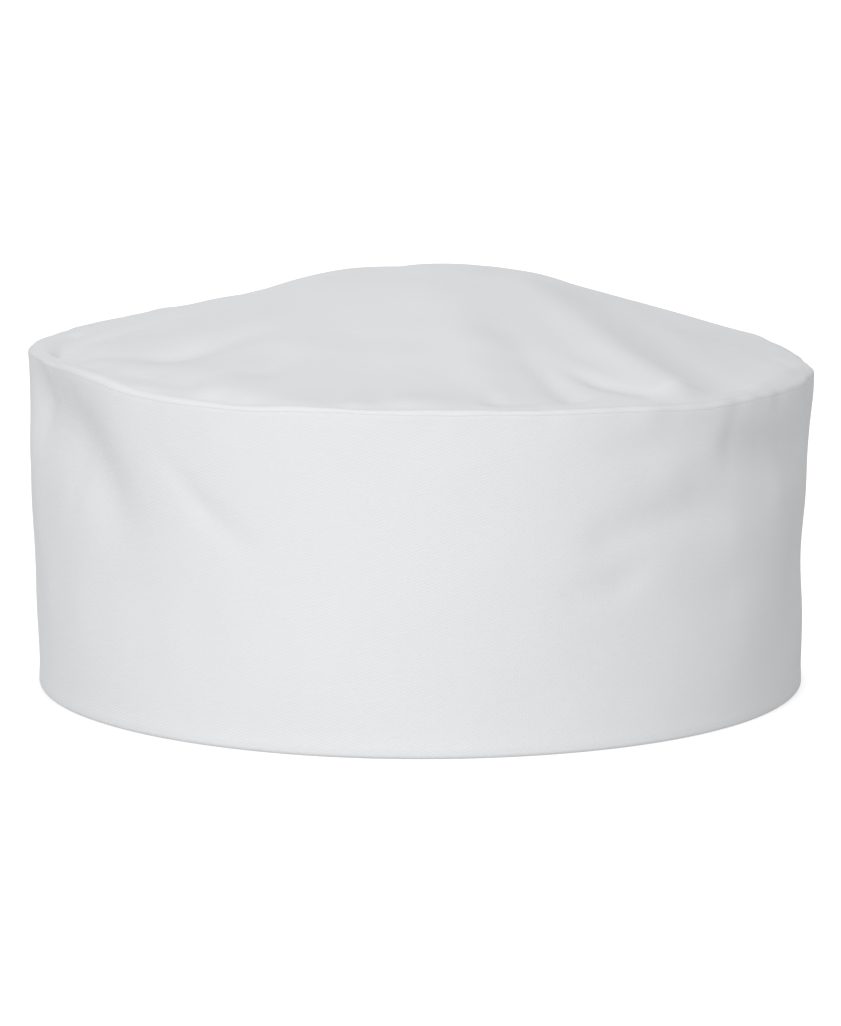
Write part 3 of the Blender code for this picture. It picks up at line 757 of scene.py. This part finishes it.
def make_crown():
    """The domed crown, its roll over the seam, and its allowance turned down inside the band."""
    path = crown_path()
    rim, roll = -PLY / 2, path[CROWN_ROLL_STEPS - 1, 1]
    disc_x, disc_y, edge, faces = crown_disc()
    reach = np.hypot(disc_x, disc_y)
    around = np.mod(np.arctan2(disc_x, disc_y), 2 * math.pi)
    plump = roll_plumpness(around)
    flank_radius = MEAN_RADIUS + rim + (path[0, 0] - rim) * plump
    from_rim = (1 - reach) * MEAN_RADIUS
    beside = np.exp(-from_rim / (5 * MM))
    shift = (wall_relief(around, BAND_HEIGHT) + seam_pucker(around, 0)) * beside
    flat = oval(around, reach * flank_radius, BAND_HEIGHT)
    x, y = flat[:, 0], flat[:, 1] - CENTRE_Y
    points = oval(around, reach * flank_radius + shift, BAND_HEIGHT)
    rise, relief = crown_rise(reach, x, y)
    points[:, 2] += rise + relief + path[0, 1] - BAND_HEIGHT + seam_waver(around) * beside
    points[:, 2] += (path[0, 1] - roll) * (plump - 1) * beside
    points[:, 2] += 0.12 * MM * wall_ripples(11 * MM, 23, around, reach * 40 * MM) * beside * (1 - beside) * 4
    points[:, 0] += DOME_SHIFT * rise / (CROWN_PROFILE[0][1] * MM)
    rows, uv, run = [points], [np.stack([x, y], -1)], MEAN_RADIUS + path[0, 0]
    angle = around[edge]
    for step, ((offset, level), before) in enumerate(zip(path[1:], path), 1):
        run += math.hypot(offset - before[0], level - before[1])
        if step < CROWN_ROLL_STEPS:
            offset = rim + (offset - rim) * plump[edge]
            level = roll + (level - roll) * plump[edge]
        rows.append(wall(angle, level + seam_waver(angle), offset + seam_pucker(angle, 0)))
        uv.append(np.stack([np.sin(angle), np.cos(angle)], -1) * run)
    count = len(edge)
    rings = [edge] + [len(points) + count * k + np.arange(count) for k in range(len(path) - 1)]
    for inner, outer in zip(rings, rings[1:]):
        skirt = np.stack([inner, outer, np.roll(outer, -1), np.roll(inner, -1)], -1)
        faces = np.concatenate([faces, skirt])
    mesh = bpy.data.meshes.new("crown_panel")
    mesh.from_pydata(np.concatenate(rows).tolist(), [], faces.tolist())
    loops = np.zeros(len(mesh.loops), np.int32)
    mesh.loops.foreach_get("vertex_index", loops)
    places = np.concatenate(uv)[loops].astype(np.float32)
    mesh.uv_layers.new(name="cloth").data.foreach_set("uv", places.ravel())
    mesh.shade_smooth()
    crown = add_piece("crown_panel_twill", mesh, TWILL, "cap", PLY)
    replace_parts(crown, "crown_panel")


# ---------------------------------------------------------------- inside the band


def sheet_on_wall(name, angles, rows, finish, body, thickness, node, wrap=False):
    """A sheet whose rows are (height, offset) pairs along the wall, or pairs of functions of the angle."""
    points = np.stack([wall(angles, height, offset) for height, offset in rows])
    down = reach_along(points[:, 0])[:, None]
    wide = np.append(angles, angles[0] + 2 * math.pi) if wrap else angles
    uv = np.stack(np.broadcast_arrays(wide[None] * MEAN_RADIUS, down), -1)
    mesh = grid_mesh(name, points, uv, wrap=wrap)
    piece = add_piece(name, mesh, finish, body, thickness)
    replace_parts(piece, node)


def make_seam_tape():
    """Bias tape folded round the crown's seam allowance, with its row of stitches."""
    outer = -WALL - SNUG - TAPE_PLY / 2
    inner = -WALL - 2 * GAP - 1.5 * TAPE_PLY - PLY - SNUG
    bend, middle = (outer - inner) / 2, (outer + inner) / 2
    low = BAND_HEIGHT - SEAM_ALLOWANCE - SNUG + bend
    high = BAND_HEIGHT - 1 * MM
    angles = 2 * math.pi * np.arange(400) / 400
    rows = [(height, outer) for height in np.linspace(high - 3 * MM, low, 5)]
    for turn in np.linspace(0, math.pi, 8)[1:]:
        rows.append((low - bend * math.sin(turn), middle + bend * math.cos(turn)))
    for height in np.linspace(low, high, 9)[1:]:
        pinch = 0.12 * MM * math.exp(-(((height - low - 0.7 * MM) / (0.7 * MM)) ** 2))
        soft = 0.1 * MM * wall_ripples(9 * MM, 41, angles, height) * min(1, (height - low) / (3 * MM))
        rows.append((height, inner + pinch + soft))
    sheet_on_wall(
        "crown_seam_tape_bias", angles, rows, TAPE, "cap", TAPE_PLY, "crown_seam_tape",
        wrap=True,
    )
    turns = np.append(angles, 2 * math.pi)
    face = inner - TAPE_PLY / 2 + 0.1 * MM
    line, out = wall_line(turns, low + 0.8 * MM, face)
    stitches = stitch_row("seam_tape_stitches", line, -out, "cap")
    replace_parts(stitches, "seam_tape_thread")


def make_sweatband():
    """The towelling strip round the inside, plump between its two rows of stitches."""
    start = SWEATBAND_START / HALF_WIDTH
    angles = np.linspace(start, 2 * math.pi - start, 360)
    middle = -WALL - SNUG - TERRY_PLY / 2
    seams = {"lower": SWEATBAND_LOW + STITCH_INSET, "upper": SWEATBAND_HIGH - STITCH_INSET}
    rows = []
    for height in np.linspace(SWEATBAND_LOW, SWEATBAND_HIGH, 31):
        from_seam = min(abs(height - seam) for seam in seams.values())
        plump = 0.55 * MM * (1 - math.exp(-((from_seam / (1.6 * MM)) ** 2)))
        puff = 1 + 0.35 * wall_ripples(14 * MM, 51, angles, height)
        rows.append((height, middle - plump * puff))
    sheet_on_wall(
        "sweatband_terry", angles, rows, TERRY, "cap", TERRY_PLY, "sweatband",
    )
    for side, height in seams.items():
        turns = angles[2:-2]
        face = middle - TERRY_PLY / 2 + 0.05 * MM
        line, out = wall_line(turns, height, face)
        stitches = stitch_row(f"sweatband_stitches_{side}", line, -out, "cap", 3 * MM)
        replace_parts(stitches, f"sweatband_thread_{side}")


def make_label():
    """The blank label, sewn along its top edge and a little curled away at its foot."""
    angles = at_back(np.linspace(*LABEL_ARCS, 48))
    across = np.linspace(-1, 1, 48)
    middle = -WALL - SNUG - LABEL_PLY / 2
    rows = []
    for height in np.linspace(LABEL_HIGH, LABEL_LOW, 44):
        fall = (LABEL_HIGH - height) / (LABEL_HIGH - LABEL_LOW)
        curl = 0.5 * MM * fall + (1.1 * MM * fall**3) * (0.5 + 0.5 * across**2)
        curl = curl + 0.15 * MM * fall * np.sin(3 * across)
        rows.append((height, middle - curl))
    sheet_on_wall(
        "care_label_blank", angles, rows, RIBBON, "cap", LABEL_PLY, "care_label",
    )
    turns = at_back(np.linspace(LABEL_ARCS[0] + MM, LABEL_ARCS[1] - MM, 30))
    face = middle - LABEL_PLY / 2 - 0.08 * MM
    line, out = wall_line(turns, LABEL_HIGH - STITCH_INSET, face)
    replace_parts(stitch_row("care_label_stitches", line, -out, "cap"), "care_label_thread")


# ---------------------------------------------------------------- the arch and the adjuster


def make_binding():
    """Bias binding folded round the arch's edge, with stitches on both faces."""
    edge_arcs, edge_heights, ways = arch_edge(210)
    middle = -WALL / 2
    bend = WALL / 2 + SNUG + TAPE_PLY / 2
    path = [(n, bend) for n in np.linspace(BINDING_LEG, WALL / 2, 9)]
    path += [(WALL / 2 - bend * math.sin(t), bend * math.cos(t)) for t in np.linspace(0, math.pi, 11)[1:]]
    path += [(n, -bend) for n in np.linspace(WALL / 2, BINDING_LEG, 9)[1:]]
    rows = []
    for inwards, lift in path:
        arcs = edge_arcs + inwards * ways[:, 0]
        heights = np.maximum(edge_heights + inwards * ways[:, 1], PLY)
        pinch = 0.15 * MM * math.exp(-(((inwards - BINDING_LEG + STITCH_INSET) / (0.7 * MM)) ** 2))
        soft = 0.07 * MM * ripples(8 * MM, 61, arcs, heights)
        side = 1 if lift > 0 else -1
        rows.append(wall(at_back(arcs), heights, middle + lift - side * pinch + soft))
    points = np.stack(rows)
    along = np.concatenate([[0], np.cumsum(np.hypot(np.diff(edge_arcs), np.diff(edge_heights)))])
    down = np.linspace(0, 2 * BINDING_LEG + 2 * MM, len(rows))[:, None]
    mesh = grid_mesh("arch_binding", points, np.stack(np.broadcast_arrays(along[None], down), -1))
    binding = add_piece("arch_binding_bias", mesh, TAPE, "cap", TAPE_PLY)
    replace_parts(binding, "arch_binding")
    inset = BINDING_LEG - STITCH_INSET
    keep = edge_heights > 2 * MM
    arcs = (edge_arcs + inset * ways[:, 0])[keep]
    heights = (edge_heights + inset * ways[:, 1])[keep]
    lift = bend + TAPE_PLY / 2 - 0.12 * MM
    outside, out = wall_line(at_back(arcs), heights, middle + lift)
    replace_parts(stitch_row("arch_binding_stitches", outside, out, "cap"), "arch_binding_thread")
    inside, out = wall_line(at_back(arcs), heights, middle - lift)
    stitch_row("arch_binding_stitches_inside", inside, -out, "cap")


def strap_middle(arc):
    """Offset of the strap's middle over the wall, smoothed along it."""
    places, rises = np.array(STRAP_RISE).T * MM
    taps = np.linspace(-3, 3, 7) * MM
    return sum(np.interp(arc + tap, places, rises) for tap in taps) / len(taps)


def strap_half_height(arc):
    """Half the strap's height, which the tip's round corners take down."""
    into = np.clip(STRAP_CORNER - (arc - STRAP_END), 0, STRAP_CORNER)
    trim = STRAP_CORNER - np.sqrt(STRAP_CORNER**2 - into**2)
    return (TAB_HIGH - TAB_LOW) / 2 - trim


def strap_half_thickness(arc, height):
    """Half the strap's thickness: rounded edges, pressed flat under the topstitching."""
    half = TAB_PLY / 2
    end = np.minimum(STRAP_START - arc, arc - STRAP_END)
    from_edge = np.minimum(strap_half_height(arc) - np.abs(height - (TAB_LOW + TAB_HIGH) / 2), end)
    round_edge = np.sqrt(1 - (1 - np.clip(from_edge / half, 0, 1)) ** 2)
    pressed = 0.22 * MM * np.exp(-(((from_edge - STITCH_INSET) / (0.9 * MM)) ** 2))
    plump = 0.12 * MM * smooth_step(from_edge, STITCH_INSET, 6 * MM)
    return half * round_edge - pressed + plump + 0.07 * MM * ripples(11 * MM, 71, arc, height) * round_edge


def make_strap():
    """The adjuster: one turned strap from its sewn root, over the arch, to its round tip."""
    half = TAB_PLY / 2
    ends = half * (1 - np.cos(np.linspace(0, math.pi / 2, 7)))
    corner = STRAP_CORNER * (1 - np.cos(np.linspace(0, math.pi / 2, 14)))
    arcs = np.concatenate([
        STRAP_START - ends, np.linspace(STRAP_START - MM, FOLD_ARCS[0] + MM, 12),
        np.linspace(*FOLD_ARCS, 14), np.linspace(FOLD_ARCS[1] - MM, STRAP_END + STRAP_CORNER, 96),
        STRAP_END + corner, STRAP_END + ends,
    ])
    arcs = np.unique(arcs.round(6))[::-1]
    shares = np.sin(np.linspace(-math.pi / 2, math.pi / 2, 33))
    ring_share = np.concatenate([shares, shares[-2:0:-1]])
    ring_side = np.concatenate([np.ones(len(shares)), -np.ones(len(shares) - 2)])
    middle = (TAB_LOW + TAB_HIGH) / 2
    arc = arcs[:, None] + 0 * ring_share[None]
    height = middle + strap_half_height(arc) * ring_share[None]
    offset = strap_middle(arc) + ring_side[None] * strap_half_thickness(arc, height)
    points = wall(at_back(arc), height, offset)
    across = np.append(ring_share * middle, ring_share[0] * middle)
    uv = np.stack(np.broadcast_arrays(arcs[:, None], across[None]), -1)
    mesh = grid_mesh("adjuster_strap", points, uv, wrap=True)
    strap = add_piece("adjuster_strap_twill", mesh, TWILL)
    weld = strap.modifiers.new("weld", "WELD")
    weld.merge_threshold = 0.005 * MM
    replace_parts(strap, "adjuster_tab", "adjuster_tab_root")
    blend_at_fold(strap)


def blend_at_fold(piece):
    """Bakes a piece's transform into its mesh; it finds the ends of the strap's fold but does not bend the
    piece across them.
    """
    middle = (TAB_LOW + TAB_HIGH) / 2
    start, end = (wall(at_back(arc), middle, TAB_PLY) for arc in FOLD_ARCS)
    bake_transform(piece)


def strap_line(arcs, heights):
    """A line of stitching on the strap's outer face, with the way out of it."""
    arcs, heights = np.asarray(arcs), np.asarray(heights)
    offset = strap_middle(arcs) + strap_half_thickness(arcs, heights) + 0.02 * MM
    return wall_line(at_back(arcs), heights, offset)


def box_corners(arcs, low, high, inset=0.0):
    """A closed rectangle of stitching inside these limits, as dense (arc, height) points."""
    arcs, low, high = (arcs[0] + inset, arcs[1] - inset), low + inset, high - inset
    corners = [(arcs[0], low), (arcs[1], low), (arcs[1], high), (arcs[0], high), (arcs[0], low)]
    line = [np.linspace(a, b, 40)[:-1] for a, b in zip(corners, corners[1:])] + [np.array([corners[-1]])]
    return np.concatenate(line).T


def make_strap_stitches():
    """Topstitching round the strap's edge, the root's box, and the hook tape's box."""
    low, high = TAB_LOW + STITCH_INSET, TAB_HIGH - STITCH_INSET
    radius = STRAP_CORNER - STITCH_INSET
    across = STRAP_END + STRAP_CORNER
    straight = np.linspace(ROOT_ARCS[0] - MM, across, 80)
    turns = np.linspace(-math.pi / 2, -math.pi, 14)[1:]
    corner_arcs, corner_rise = across + radius * np.cos(turns), radius * (1 + np.sin(turns))
    arcs = np.concatenate([straight, corner_arcs, corner_arcs[::-1], straight[::-1]])
    heights = np.concatenate([
        low + 0 * straight, low + corner_rise, high - corner_rise[::-1], high + 0 * straight
    ])
    edge = stitch_row("tab_edge_stitches", *strap_line(arcs, heights), None)
    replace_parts(edge, "tab_edge_thread")
    blend_at_fold(edge)
    root = stitch_row("tab_root_stitches", *strap_line(*box_corners(ROOT_ARCS, low, high)), "cap")
    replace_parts(root, "tab_root_thread")
    line = strap_line(*box_corners(HOOK_ARCS, HOOK_LOW, HOOK_HIGH, TAPE_STITCH_INSET))
    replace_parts(stitch_row("hook_tape_stitches", *line, "tab"), "hook_tape_thread")


def tape_backing(name, arcs, low, high, offset, body, node):
    """The woven backing of a hook or loop tape."""
    angles = at_back(np.linspace(*arcs, 60))
    rows = [(height, offset) for height in np.linspace(low, high, 20)]
    sheet_on_wall(name, angles, rows, TAPE_BACK, body, BACKING_PLY, node)


def tape_places(arcs, low, high, edge, pitch, seed):
    """Places inside a tape's edge, in rows shifted by half a pitch, each a little off its mark."""
    arcs, low, high = (arcs[0] + edge, arcs[1] - edge), low + edge, high - edge
    rng = np.random.default_rng(seed)
    places = []
    for row, height in enumerate(np.arange(low, high, pitch)):
        shift = pitch / 2 * (row % 2)
        for arc in np.arange(arcs[0] + shift, arcs[1], pitch):
            aside, above = 0.15 * pitch * rng.normal(), 0.15 * pitch * rng.normal()
            places.append((arc + aside, height + above, rng.random()))
    return places


def make_hook_tape():
    """Hook tape inside the tab's free end: stiff bent hooks on a woven backing."""
    tape_backing("hook_tape_backing", HOOK_ARCS, HOOK_LOW, HOOK_HIGH, HOOK_BACKING, "tab", "hook_tape")
    tubes = []
    turns = np.linspace(0, math.pi * 1.1, 6)
    for arc, height, chance in tape_places(HOOK_ARCS, HOOK_LOW, HOOK_HIGH, 0.8 * MM, 1.05 * MM, 81):
        way = 1 if chance > 0.5 else -1
        curl = 0.17 * MM
        rise = np.concatenate([[0, 0.3 * MM], 0.45 * MM + curl * np.sin(turns)])
        lean = np.concatenate([[0, 0], curl * (1 - np.cos(turns))]) * way
        base = HOOK_BACKING - BACKING_PLY / 2 + 0.02 * MM
        centres = wall(at_back(arc + lean), height + 0 * lean, base - rise)
        tubes.append((centres, np.linspace(0.11, 0.06, len(rise)) * MM))
    add_piece("hook_tape_hooks", tubes_mesh("hook_tape_hooks", tubes, 5), HOOKS, "tab")


def make_loop_tape():
    """Loop tape on the band beside the arch: a pile of fine loops on a woven backing."""
    tape_backing("loop_tape_backing", LOOP_ARCS, LOOP_LOW, LOOP_HIGH, LOOP_BACKING, "cap", "loop_tape")
    rng = np.random.default_rng(91)
    tubes = []
    turns = np.linspace(0, math.pi, 7)
    for arc, height, chance in tape_places(LOOP_ARCS, LOOP_LOW, LOOP_HIGH, 0.9 * MM, 1.1 * MM, 92):
        way, tall = 2 * math.pi * chance, (0.55 + 0.25 * rng.random()) * MM
        spread = 0.5 * MM * np.cos(turns)
        rise = LOOP_BACKING + BACKING_PLY / 2 - 0.05 * MM + tall * np.sin(turns)
        centres = wall(at_back(arc + spread * math.cos(way)), height + spread * math.sin(way), rise)
        tubes.append((centres, np.full(len(turns), 0.07 * MM)))
    add_piece("loop_tape_loops", tubes_mesh("loop_tape_loops", tubes, 4), LOOPS, "cap")
    arcs, heights = box_corners(LOOP_ARCS, LOOP_LOW, LOOP_HIGH, TAPE_STITCH_INSET)
    line, out = wall_line(at_back(arcs), heights, LOOP_BACKING + BACKING_PLY)
    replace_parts(stitch_row("loop_tape_stitches", line, out, "cap"), "loop_tape_thread")


# ---------------------------------------------------------------- camera, light, floor


def make_camera():
    """The photograph's view: a long lens, from the front and a little above."""
    distance, elevation = 1.383, math.radians(9.41)
    target = Vector((0, CENTRE_Y, 40.8 * MM))
    camera = bpy.data.objects.new("camera", bpy.data.cameras.new("camera"))
    camera.data.lens = 199.5
    camera.data.sensor_width = 36
    camera.data.clip_end = 50
    back = Vector((0, -math.cos(elevation), math.sin(elevation)))
    camera.location = target + back * distance
    camera.rotation_euler = (math.pi / 2 - elevation, 0, 0)
    camera.rotation_euler.rotate_axis("Z", math.radians(0.12))
    bpy.context.scene.collection.objects.link(camera)
    bpy.context.scene.camera = camera


def area_light(name, azimuth, elevation, distance, size, power):
    """A soft square light that looks at the cap; the azimuth is from the front towards +X."""
    turn, rise = math.radians(azimuth), math.radians(elevation)
    way = Vector((math.sin(turn) * math.cos(rise), -math.cos(turn) * math.cos(rise), math.sin(rise)))
    light = bpy.data.objects.new(name, bpy.data.lights.new(name, "AREA"))
    light.data.size = size
    light.data.energy = power
    light.location = way * distance + Vector((0, 0, 50 * MM))
    light.rotation_euler = way.to_track_quat("Z", "Y").to_euler()
    bpy.context.scene.collection.objects.link(light)


def make_floor():
    """A pale floor, which glows more to the camera than to the cap, but not under the cap, where the missing
    glow is a painted shadow.
    """
    side = 8.0
    corners = [(-side, -side), (side, -side), (side, side), (-side, side)]
    mesh = bpy.data.meshes.new("floor")
    mesh.from_pydata([(x, y, -0.05 * MM) for x, y in corners], [], [(0, 1, 2, 3)])
    floor = bpy.data.objects.new("floor", mesh)
    bpy.context.scene.collection.objects.link(floor)
    nodes = Nodes(bpy.data.materials.new("floor"))
    place = nodes.add("ShaderNodeTexCoord").outputs["Object"]
    nodes.tint(nodes.noise(place, 6), (0.34, 0.34, 0.34), (0.36, 0.36, 0.36))
    nodes.set(Roughness=0.9, Emission_Color=(1, 1, 1, 1))
    # The camera's extra glow fades out towards the cap's axis. This paints a soft shadow on the floor under
    # the cap.
    from_axis = nodes.add("ShaderNodeVectorMath", operation="LENGTH")
    nodes.link(place, from_axis.inputs[0])
    outside = nodes.add(
        "ShaderNodeMapRange", interpolation_type="SMOOTHSTEP", From_Min=PAINTED_SHADOW_FADE_START, From_Max=PAINTED_SHADOW_END
    )
    nodes.link(from_axis.outputs["Value"], outside.inputs["Value"])
    seen = nodes.add("ShaderNodeLightPath").outputs["Is Camera Ray"]
    boost = nodes.math("MULTIPLY", nodes.math("MULTIPLY", seen, FLOOR_GLOW_SEEN), outside.outputs["Result"])
    nodes.link(nodes.math("ADD", boost, FLOOR_GLOW), nodes.shader.inputs["Emission Strength"])
    floor.data.materials.append(nodes.owner)


def make_world():
    """A surround that is white to the camera, and lights the cap more from some sides than from others."""
    world = bpy.data.worlds.new("studio")
    bpy.context.scene.world = world
    nodes = Nodes(world, "Background")
    nodes.set(Color=(1, 1, 1, 1))
    way = nodes.add("ShaderNodeTexCoord").outputs["Generated"]
    glow = WORLD_GLOW
    for lobe in WORLD_LOBES:
        facing = nodes.add("ShaderNodeVectorMath", operation="DOT_PRODUCT")
        facing.inputs[1].default_value = lobe
        nodes.link(way, facing.inputs[0])
        glow = nodes.math("ADD", glow, nodes.math("MAXIMUM", facing.outputs["Value"], 0.0))
    strength = nodes.add("ShaderNodeMapRange", To_Max=1.0)
    nodes.link(glow, strength.inputs["To Min"])
    nodes.link(nodes.add("ShaderNodeLightPath").outputs["Is Camera Ray"], strength.inputs["Value"])
    nodes.link(strength.outputs["Result"], nodes.shader.inputs["Strength"])


def make_lights():
    """A soft key from the front, a little to the left, and a soft light from behind."""
    area_light("key", -10, 18, 2.2, 1.6, 22)
    area_light("back", 176, 9, 2.6, 1.2, 15)
    bpy.context.scene.view_settings.view_transform = "Standard"


make_camera()
make_floor()
make_world()
make_lights()
make_band()
make_interfacing()
make_crown()
make_seam_tape()
make_sweatband()
make_label()
make_binding()
make_strap()
make_strap_stitches()
make_hook_tape()
make_loop_tape()
